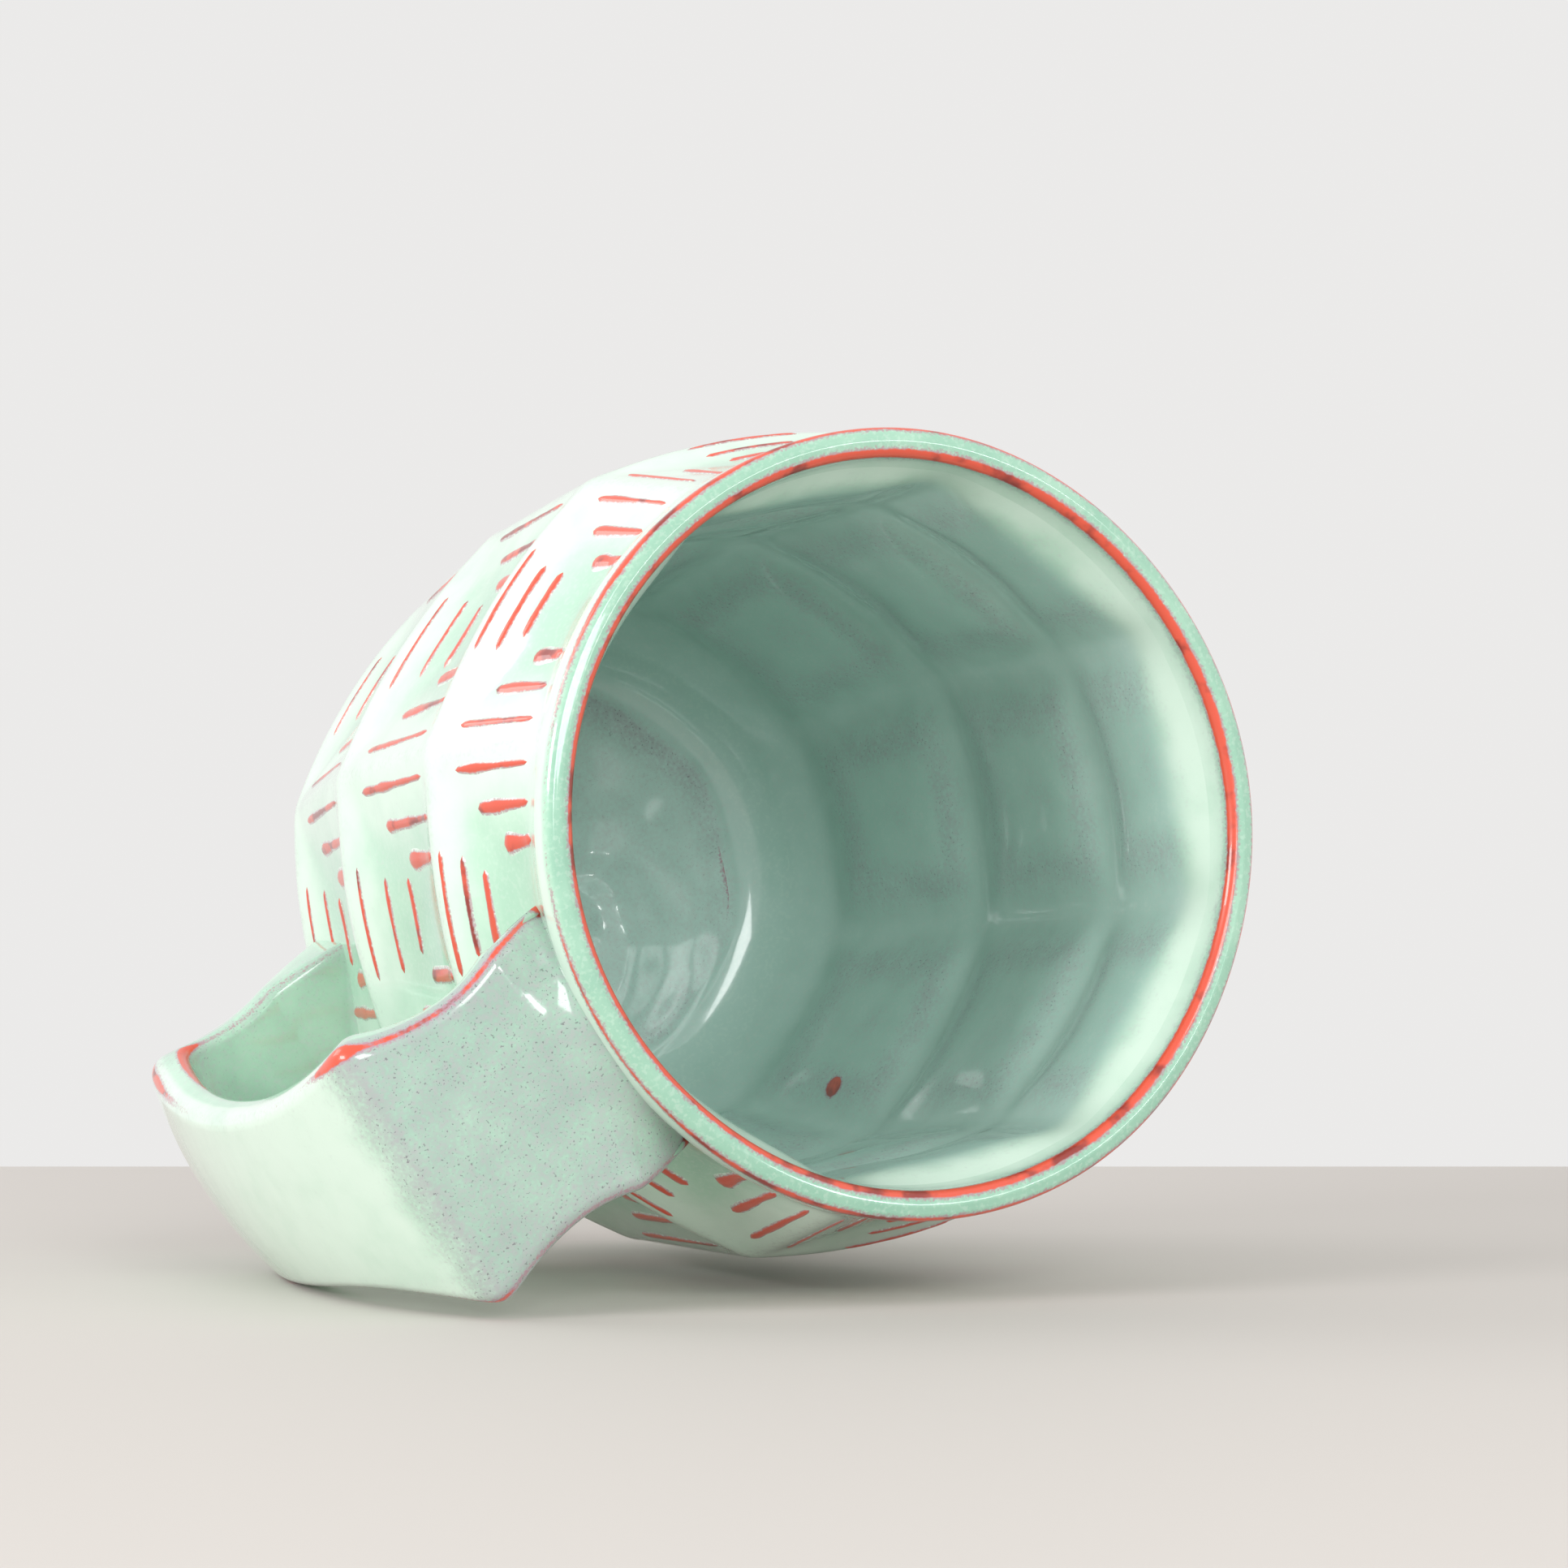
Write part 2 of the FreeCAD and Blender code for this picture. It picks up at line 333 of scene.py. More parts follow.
def polar(radius, turn, z):
    """Points at a radius and height, with the turn counted in columns from the handle."""
    angle = np.asarray(turn) * TAU / COLUMNS
    return np.stack(np.broadcast_arrays(radius * np.cos(angle), radius * np.sin(angle), z), -1)


def hand_thrown(points):
    """Points moved by a fraction of a millimetre, as soft clay moves in the hand and the kiln."""
    x, y, z = (points[..., k] / 9.0 for k in range(3))
    sway = np.sin(np.stack([0.9 * y + 0.7 * z + 1, 0.8 * x - 0.9 * z, 0.7 * x + 0.9 * y + 2], -1))
    return points + 0.16 * sway


def sheet_normals(points):
    """Outward normals of a sheet of rings, each ring running round the piece."""
    around = np.roll(points, -1, 1) - np.roll(points, 1, 1)
    normals = np.cross(around, np.gradient(points, axis=0))
    return normals / np.maximum(np.linalg.norm(normals, axis=-1, keepdims=True), 1e-9)


class Sheet:
    """Rings of points with their normals and the values that the glaze reads at each point."""

    def __init__(self, points, **values):
        self.points, self.normals = points, sheet_normals(points)
        self.values = {k: np.broadcast_to(v, points.shape[:2]) for k, v in values.items()}

    def cut(self, first, last):
        """The rings from one to another, with the whole sheet's own normals."""
        part = object.__new__(Sheet)
        part.points, part.normals = self.points[first:last], self.normals[first:last]
        part.values = {k: v[first:last] for k, v in self.values.items()}
        return part


def joined(*sheets):
    """Several sheets as one run of rings that keeps each sheet's normals."""
    whole = object.__new__(Sheet)
    whole.points = np.concatenate([s.points for s in sheets])
    whole.normals = np.concatenate([s.normals for s in sheets])
    whole.values = {k: np.concatenate([s.values[k] for s in sheets]) for k in sheets[0].values}
    return whole


def piece(name, sheet, ends, material, node):
    """Closed mesh object made from a sheet: its ends are joined in a loop or drawn to a point."""
    rings, count = sheet.points.shape[:2]
    points, normals = sheet.points.reshape(-1, 3), sheet.normals.reshape(-1, 3)
    values = {k: v.reshape(-1) for k, v in sheet.values.items()}
    ring, side = np.meshgrid(np.arange(rings - (ends == "points")), np.arange(count), indexing="ij")
    above, next_side = (ring + 1) % rings, (side + 1) % count
    corners = [ring * count + side, ring * count + next_side, above * count + next_side, above * count + side]
    faces = np.stack(corners, -1).reshape(-1, 4).tolist()
    if ends == "points":
        tips = [sheet.points[0].mean(0), sheet.points[-1].mean(0)]
        points = np.concatenate([points, tips])
        normals = np.concatenate([normals, [tips[0] - tips[1], tips[1] - tips[0]]])
        values = {k: np.concatenate([v, [v[0], v[-1]]]) for k, v in values.items()}
        last = (rings - 1) * count
        for a in range(count):
            b = (a + 1) % count
            faces += [[b, a, rings * count], [last + a, last + b, rings * count + 1]]
    mesh = bpy.data.meshes.new(name)
    mesh.from_pydata((hand_thrown(points) * MM).tolist(), [], faces)
    mesh.shade_smooth()
    mesh.normals_split_custom_set_from_vertices(normals.tolist())
    for key, value in values.items():
        mesh.attributes.new(key, "FLOAT", "POINT").data.foreach_set("value", value.astype(np.float32))
    return shown(name, mesh, material, node)


def placed(name, data):
    """New object in the scene."""
    made = bpy.data.objects.new(name, data)
    bpy.context.scene.collection.objects.link(made)
    return made


def shown(name, mesh, material, node=None):
    """Object for a finished mesh, riding on the mug's one body."""
    made = placed(name, mesh)
    made.data.materials.clear()
    made.data.materials.append(material)
    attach(made, "root")
    if node:
        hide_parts(node)
    return made


# Cup


def lip_profile(s):
    """Inset and height of the lip's section, from outside the base, over the top and down inside."""
    r, top = s.lip_round, s.height - s.lip_round
    quarter = np.linspace(0, math.pi / 2, 8)
    sides = np.linspace(s.lip_base, top, 7)[:-1]
    outer = [(0, z) for z in sides] + [(r - r * math.cos(a), top + r * math.sin(a)) for a in quarter]
    inner = [(s.lip_width - inset, z) for inset, z in reversed(outer)]
    flat = [(x, s.height + 0.12) for x in np.linspace(r, s.lip_width - r, 4)[1:-1]]
    return np.array(outer + flat + inner)


def cup_skin(s):
    """The cup's whole surface as sheets: outer wall, lip, inner wall and floor."""
    turns = np.arange(COLUMNS * 40) / 40
    angle = turns * TAU / COLUMNS
    outside, inside = outside_skin(s), inside_skin(s)

    # Outer wall, from the foot up
    z = np.linspace(s.foot_height, s.lip_base, 116)[:, None]
    outer = polar(outside.radius(turns, z), turns, z)
    depth = outside.depth(turns, z)
    outer_values = {
        "break_mm": np.minimum(UNBROKEN + 0 * depth, z - s.foot_height - 1.1),
        "thin": 0.10 + 0.25 * gauss(depth, 0.05),
        "pool": 0.06 + 0.50 * rise(depth, 0.1, 0.8),
        "cool": 0.0,
    }

    # Lip
    inset, lip_z = lip_profile(s).T[:, :, None]
    out_radius = outside.radius(turns, lip_z)
    within = rise(inset, 1.0, 2.4)
    in_radius = inside.radius(turns, lip_z) + s.lip_width - inset
    lip = polar((out_radius - inset) * (1 - within) + in_radius * within, turns, lip_z)
    steps = np.hypot(np.diff(inset[:, 0]), np.diff(lip_z[:, 0]))
    along = np.concatenate([[0], np.cumsum(steps)])[:, None]
    side = s.height - s.lip_round - s.lip_base
    corner = side + s.lip_round * math.pi / 4
    far_corner = along[-1] - corner
    from_handle = np.mod(turns + COLUMNS / 2, COLUMNS) - COLUMNS / 2
    faded = sum(
        much * gauss(from_handle - where, spread)
        for much, where, spread in ((0.95, -0.72, 0.24), (0.5, -1.15, 0.3), (0.55, 0.05, 0.38))
    )
    outer_line = np.abs(along - side - 0.35) - 0.62 + 0.75 * faded
    inner_line = np.abs(along - far_corner - 0.1) - 0.66
    gathered = rise(along, side - 1, corner + 0.5) * (1 - 0.8 * rise(along, far_corner, far_corner + 2))
    lip_values = {
        "break_mm": np.minimum(outer_line, inner_line),
        "thin": 0.08 + 0.42 * gauss(along - far_corner - 1.3, 0.6),
        "pool": 0.80 * gathered,
        "cool": 0.0,
    }

    # Inner wall, from the lip down to where the hollow at its foot begins
    reach = s.floor_fillet
    start_z = s.floor_top + reach * 1.1
    z = np.linspace(s.lip_base, start_z, 100)[:, None]
    inner = polar(inside.radius(turns, z), turns, z)
    depth = inside.depth(turns, z)
    cell_edge = gauss(depth - 0.36, 0.14)
    under_lip = rise(z, 96, 103)
    from_spot = (np.mod(turns + COLUMNS / 2 - SPOT_TURN, COLUMNS) - COLUMNS / 2) * TAU / COLUMNS
    seep = np.hypot(39 * from_spot, z - SPOT_HEIGHT) - SPOT_RADIUS
    inner_values = {
        "break_mm": np.minimum(seep, UNBROKEN),
        "thin": (0.18 + 0.40 * cell_edge + 0.2 * rise(depth, 0.6, 0.9)) * (1 - 0.75 * under_lip),
        "pool": (0.40 - 0.14 * gauss(depth, 0.16) + 0.1 * depth) * (1 - 0.72 * under_lip),
        "cool": 1 - under_lip,
    }

    # Hollow between the inner wall and the floor
    wall_end = inside.radius(turns, start_z)
    t = np.linspace(0, 1, 14)[1:, None]
    corner_radius = s.floor_radius - 0.5
    rim_of_floor = corner_radius - reach + 0.5 * np.cos(turns * TAU)
    fillet_radius = (1 - t) ** 2 * wall_end + 2 * t * (1 - t) * corner_radius + t**2 * rim_of_floor
    fillet_z = (1 - t) ** 2 * start_z + (1 - (1 - t) ** 2) * s.floor_top
    fillet = polar(fillet_radius, turns, fillet_z)
    # The fillet greys towards the floor, where it runs into the painted shade round the floor's rim
    fillet_values = {"break_mm": UNBROKEN, "thin": 0.08 + 0.3 * t**4, "pool": 0.28, "cool": 1.0}

    # Floor, from the hollow to its middle
    share = np.linspace(1, 0.02, 34)[1:, None]
    floor_radius = share * rim_of_floor
    ripple = 0.35 * np.sin(5 * angle + 3 * share) * np.sin(share * 9) * rise(1 - share, 0, 0.25)
    floor = polar(floor_radius, turns, s.floor_top + ripple * rise(share, 0, 0.3))
    # Two arcs near the floor's rim break to a purple fringe and red
    rim_arcs = gauss(share - 0.97, 0.03) * (gauss(turns - 3.3, 0.4) + gauss(turns - 5.9, 0.45))
    # Towards its rim the floor turns grey violet, more on two opposite sides: painted shade where the wall
    # shades the floor's edge
    floor_values = {
        "break_mm": 1.5 - 1.46 * rim_arcs,
        "thin": 0.36 + 0.45 * rise(share, 0.78, 0.97) * (0.6 + 0.4 * np.sin(2 * angle)),
        "pool": 0.16,
        "cool": 1.0,
    }

    parts = [
        (outer, outer_values), (lip, lip_values), (inner, inner_values), (fillet, fillet_values),
        (floor, floor_values),
    ]
    counts = [len(points) for points, _ in parts]
    stacked = {
        key: np.concatenate([np.broadcast_to(v[key], p.shape[:2]) for p, v in parts]) for key in outer_values
    }
    whole = Sheet(np.concatenate([p for p, _ in parts]), **stacked)
    a, b, _, d = np.cumsum(counts)[:4]
    return SimpleNamespace(
        outer=whole.cut(0, a), lip=whole.cut(a, b), inner=whole.cut(b, d), floor=whole.cut(d - 1, None),
        turns=turns,
    )


def plain_rings(profile, turns, **values):
    """Sheet of round rings through (radius, height) pairs."""
    return Sheet(np.stack([polar(r, turns, z) for r, z in profile]), **values)


def round_foot(s):
    """Section of the foot ring: its two lower edges are rounded by a sponge."""
    r = 0.7  # radius of the rounding
    quarter = np.linspace(0, math.pi / 2, 6)
    outer = [(s.foot_outer - r + r * math.cos(a), r - r * math.sin(a)) for a in quarter]
    inner = [(s.foot_inner + r - r * math.cos(a), r - r * math.sin(a)) for a in quarter]
    floor = [(x, 0.0) for x in np.linspace(s.foot_inner + r, s.foot_outer - r, 6)[1:-1]]
    top = s.foot_height
    return [(s.foot_inner, top), *inner, *floor, *reversed(outer), (s.foot_outer, top)]


# Handle


def bowed(start, middle, end, count):
    """Points on the circle through three side-view points."""
    a, b, c = (np.array(p, float) for p in (start, middle, end))
    ox, oz = np.linalg.solve([b - a, c - a], [(b @ b - a @ a) / 2, (c @ c - a @ a) / 2])
    first, last = (math.atan2(z - oz, x - ox) for x, z in (start, end))
    radius, angles = math.hypot(a[0] - ox, a[1] - oz), np.linspace(first, last, count)
    return np.stack([ox + radius * np.cos(angles), oz + radius * np.sin(angles)], -1)


def eased(rows, spread):
    """Rows of numbers softened along the strap, running on straight past both ends."""
    weights, reach = bell(spread)
    head = 2 * rows[0] - rows[reach:0:-1]
    tail = 2 * rows[-1] - rows[-2:-reach - 2:-1]
    padded = np.concatenate([head, rows, tail])
    return sum(w * padded[k:k + len(rows)] for k, w in enumerate(weights)) / weights.sum()


def section_template():
    """One turn of the strap's section: which corner each point belongs to and its way round it."""
    across, corner = np.linspace(1, -1, 27), np.linspace(0, 1, 8)
    rows = [(a, 1, 90) for a in across[:-1]]
    rows += [(-1, 1, 90 + 90 * t) for t in corner[:-1]]
    rows += [(-1, n, 180) for n in (1, 0)]
    rows += [(-1, -1, 180 + 90 * t) for t in corner[:-1]]
    rows += [(-a, -1, 270) for a in across[:-1]]
    rows += [(1, -1, 270 + 90 * t) for t in corner[:-1]]
    rows += [(1, n, 360) for n in (-1, 0)]
    rows += [(1, 1, 360 + 90 * t) for t in corner[:-1]]
    side, face, turn = np.array(rows, float).T
    turn = np.radians(turn)
    return SimpleNamespace(side=side, face=face, out_side=np.cos(turn), out_face=np.sin(turn))


def strap_path(h):
    """Outer and inner side-view lines of the strap, its half width and crown, ring by ring."""
    counts = (42, 154, 38)  # rings in the top panel, the grip and the lower panel

    def side_view(seam_top, shoulder, grip, elbow, seam_low):
        return np.concatenate([
            np.linspace(seam_top, shoulder, counts[0])[:-1], bowed(shoulder, grip, elbow, counts[1])[:-1],
            np.linspace(elbow, seam_low, counts[2]),
        ])

    # Each inner fold lies nearer the wall than the outer one, so that the strap stays as thick there
    outer = side_view(
        (h.upper_seam, h.seam_top_z), (h.shoulder_x, h.shoulder_z), (h.grip_x, h.grip_z),
        (h.elbow_x, h.elbow_z), (h.lower_seam, h.seam_low_z),
    )
    inner = side_view(
        (h.upper_seam, h.seam_top_z - h.thickness), (h.shoulder_x - 4.1, h.shoulder_z - h.thickness),
        (h.grip_x - h.thickness, h.grip_z), (h.elbow_x - 3.7, h.elbow_z + h.thickness + 0.4),
        (h.lower_seam, h.seam_low_z + h.thickness),
    )
    way = np.concatenate([
        np.linspace(0, 1, counts[0])[:-1], np.linspace(1, 2, counts[1])[:-1], np.linspace(2, 3, counts[2])
    ])

    def waisted(t, near, waist, far, middle):
        before, after = (middle - t) / middle, (t - middle) / (1 - middle)
        return waist + np.where(t < middle, (near - waist) * before**2, (far - waist) * after**2)

    half = np.where(
        way < 1, waisted(way, h.seam_half, h.top_waist, h.shoulder_half, 0.36),
        np.where(
            way < 2, waisted(way - 1, h.shoulder_half, h.grip_waist, h.elbow_half, 0.41),
            waisted(way - 2, h.elbow_half, h.lower_waist, h.lower_half, 0.66),
        ),
    )
    crown = h.crown_shoulder * gauss(way - 1, 0.45) + h.crown_elbow * gauss(way - 2, 0.32)
    spread = h.fold_round / 0.5
    return SimpleNamespace(
        outer=eased(outer, spread * 1.3), inner=eased(inner, spread), half=eased(half, spread * 0.8),
        crown=crown, way=way,
    )


def strap_rings(h, template):
    """Rings of the strap between its two seams."""
    path = strap_path(h)
    outer, inner = (np.insert(line, 1, 0, axis=1) for line in (path.outer, path.inner))
    middle, half_thick = (outer + inner) / 2, (outer - inner) / 2
    normal = half_thick / np.linalg.norm(half_thick, axis=1, keepdims=True)
    r = h.edge_round
    across = template.side * (path.half[:, None] - r) + template.out_side * r
    thick = np.linalg.norm(half_thick, axis=1)[:, None]
    lift = template.face * (thick - r) + template.out_face * r
    crowned = path.crown[:, None] * np.where(template.face > 0, 1, 0.55)
    lift = lift + crowned * (1 - (across / path.half[:, None]) ** 2)
    points = middle[:, None] + normal[:, None] * lift[..., None]
    points[..., 1] = across
    return points, path


def drawn_out(wall, leave, seam, onward, count):
    """Rings that leave the wall one way and run on into the strap's end section another."""
    t = np.linspace(0, 1, count)[:, None, None]
    return (
        (2 * t**3 - 3 * t**2 + 1) * wall + (t**3 - 2 * t**2 + t) * leave
        + (3 * t**2 - 2 * t**3) * seam + (t**3 - t**2) * onward
    )


def footprint(skin, template, up, middle, reach, droop, half_turn, inner_turn):
    """Where a joint meets the wall, and the way that each of its lines leaves the wall.

    `reach` is how far it spreads above and below its middle, and `droop` how much lower its corners
    lie. Between the corners it leaves along the wall, as a hollow that a wet finger wiped.
    """
    outward = template.side * 0.88 + template.out_side * 0.12
    face = np.clip(template.face * 0.8 + template.out_face * 0.2, -1, 1)
    off_middle = np.abs(outward)
    height = np.where(face > 0, reach[0] - droop * off_middle**2.2, reach[1] - 0.35 * droop * off_middle**3)
    z = middle + up * height * face
    turn = outward * (inner_turn + (half_turn - inner_turn) * (1 + face) / 2)
    angle = turn * TAU / COLUMNS
    radial = np.stack([np.cos(angle), np.sin(angle), 0 * angle], -1)
    tangent = np.stack([-np.sin(angle), np.cos(angle), 0 * angle], -1)
    wiped = 1 - 0.95 * off_middle**5
    along = 0.3 * tangent * template.out_side[:, None]
    along[:, 2] += up * template.out_face * wiped
    leave = -3.6 * along + 4.5 * radial * (1 - wiped * np.abs(template.out_face))[:, None]
    return polar(skin.radius(turn, z) - 0.35, turn, z), leave


def handle_sheet(s, h):
    """The whole handle as one sheet, with the ring numbers at which it is cut."""
    template = section_template()
    strap, path = strap_rings(h, template)
    skin = outside_skin(s)
    count = 26  # rings in a joint
    onward = 10.0  # pull of the strap's own direction on a joint, in ring spacings
    top = footprint(
        skin, template, 1, middle=99.6, reach=(6.4, 4.6), droop=8.0, half_turn=0.49, inner_turn=0.43
    )
    foot = footprint(
        skin, template, -1, middle=24.6, reach=(6.2, 5.6), droop=1.0, half_turn=0.49, inner_turn=0.46
    )
    upper = drawn_out(*top, strap[0], onward * (strap[1] - strap[0]), count)[:-1]
    lower = drawn_out(*foot, strap[-1], onward * (strap[-2] - strap[-1]), count)[::-1][1:]
    points = np.concatenate([upper, strap, lower])
    way_in, way_out = np.linspace(-0.6, 0, count)[:-1], np.linspace(3, 3.6, count)[1:]
    way = np.concatenate([way_in, path.way, way_out])[:, None]

    # Distance round the section from the nearest edge of the outer face and of the inner one
    half = np.interp(way[:, 0], path.way, path.half)[:, None]
    flat = (1 - np.abs(template.side)) * (half - h.edge_round)
    turned = np.degrees(np.arctan2(template.out_face, np.abs(template.out_side)))
    bend = h.edge_round * math.radians(1) * np.abs(turned - 45 * np.sign(template.face + 1e-6))
    thick_way = (1 - np.abs(template.face)) * (h.thickness / 2 - h.edge_round)
    to_edge = flat + bend + thick_way
    outer_edge = np.where(template.face >= 0, to_edge, to_edge + h.thickness)
    inner_edge = np.where(template.face <= 0, to_edge, to_edge + h.thickness)

    upper_side = template.side < 0
    top_panel = rise(way, -0.7, -0.5) * (1 - rise(way, 0.95, 1.12))
    at_shoulder, at_elbow = gauss(way - 1.0, 0.06), gauss(way - 1.95, 0.14)
    grip = rise(way, 1.05, 1.15)
    outer_half = np.where(
        upper_side, 0.26 * top_panel + 0.75 * at_shoulder - 0.28 * grip + 0.85 * at_elbow,
        0.06 * top_panel + 0.22 * at_shoulder + 0.06 * grip + 0.5 * at_elbow,
    )
    inner_half = np.where(upper_side, -0.02 - 0.3 * top_panel, -0.42) + 0.95 * at_elbow + 0.3 * at_shoulder
    ears = [np.linalg.norm(points - points[0, k], axis=-1) for k in corner_points(template)]
    tip = np.minimum(*ears) - 1.25
    breaks = np.minimum(np.minimum(outer_edge - outer_half, inner_edge - inner_half), tip)

    outer_face = template.face > 0
    fold = gauss(way - 1.0, 0.045) + gauss(way - 2.0, 0.12)
    top = 1 - rise(way, 0.93, 1.1)
    low = rise(way, 1.9, 2.1)
    # On the outer face the top panel gets greyer, deeper green glaze than the grip: partly the glaze's own
    # grey-green mottling, partly painted shade on a panel turned from the light, with the grip's face left
    # pale as a partly painted highlight
    thin = np.where(outer_face, 0.66 * top + 0.40 * fold + 0.05, 0.12 + 0.3 * fold + 0.2 * low)
    thin = np.clip(thin + 0.25 * gauss(to_edge, 1.0), 0, 1)
    pool = np.where(outer_face, 0.05 + 0.70 * top + 0.25 * low, 0.42 + 0.15 * low)
    sheet = Sheet(points, break_mm=np.minimum(breaks, UNBROKEN), thin=thin, pool=pool)
    return sheet, count - 1, count - 1 + len(strap)


def corner_points(template):
    """The template's points in the middle of the outer face's two corners."""
    diagonal = np.abs(template.out_face - math.sqrt(0.5)) + (template.face < 1) * 9
    return [int(np.argmin(diagonal + (template.side * sign < 1) * 9)) for sign in (1, -1)]


# Relief strokes


def stroke_guides(s, longest):
    """One column's strokes as lines on the wall: points, normals and half widths, stroke by stroke."""
    skin = outside_skin(s)
    heights = skin.heights
    strokes = []
    for row in range(3):
        drop = heights[row] - heights[row + 1]
        head, sill, pitch = (0.12, 0.94, 0.145) if row == 0 else (0.08, 0.88, 0.20)
        for k in range(3):
            down = np.linspace(head + 0.015 * k, head + longest - 0.18 * k, 24)
            for u in (0.07 + 0.12 * k, 0.93 - 0.12 * k):
                strokes.append((u + 0 * down, heights[row] - drop * down, 1.38**k, 1.0))
            across = np.linspace(0.5 - 0.21 + 0.034 * k, 0.5 + 0.21 - 0.034 * k, 20)
            level = heights[row] - drop * (sill - pitch * k)
            strokes.append((across, level + 0 * across, 0.80 * 1.25**k, 0.0))
    guides = []
    for turn, z, fatness, tapered in strokes:

        def on_wall(aside, up):
            return polar(skin.radius(turn + aside, z + up), turn + aside, z + up)

        normal = np.cross(on_wall(0.02, 0) - on_wall(-0.02, 0), on_wall(0, 0.5) - on_wall(0, -0.5))
        normal /= np.linalg.norm(normal, axis=1, keepdims=True)
        guides.append((on_wall(0, 0), normal, fatness, tapered))
    return guides


def guide_mesh(guides):
    """Mesh of bare edges that carries the strokes' lines and what the tree needs to know about them."""
    points, edges, normals, fatness, taper = [], [], [], [], []
    for line, normal, fat, tapered in guides:
        start = len(points)
        points += line.tolist()
        edges += [(start + k, start + k + 1) for k in range(len(line) - 1)]
        normals += normal.tolist()
        fatness += [fat] * len(line)
        taper += [tapered] * len(line)
    mesh = bpy.data.meshes.new("stroke_guides")
    mesh.from_pydata([[c * MM for c in p] for p in points], edges, [])
    mesh.attributes.new("facing", "FLOAT_VECTOR", "POINT").data.foreach_set("vector", np.ravel(normals))
    mesh.attributes.new("fatness", "FLOAT", "POINT").data.foreach_set("value", fatness)
    mesh.attributes.new("taper", "FLOAT", "POINT").data.foreach_set("value", taper)
    return mesh


def add_node(tree, kind, inputs=None, output=0, **settings):
    """One output of a new node; an input given as a socket is linked and anything else is its value."""
    node = tree.nodes.new(kind)
    for name, value in settings.items():
        setattr(node, name, value)
    for name, value in (inputs or {}).items():
        if isinstance(value, bpy.types.NodeSocket):
            tree.links.new(value, node.inputs[name])
        else:
            node.inputs[name].default_value = value
    return node.outputs[output] if node.outputs else node


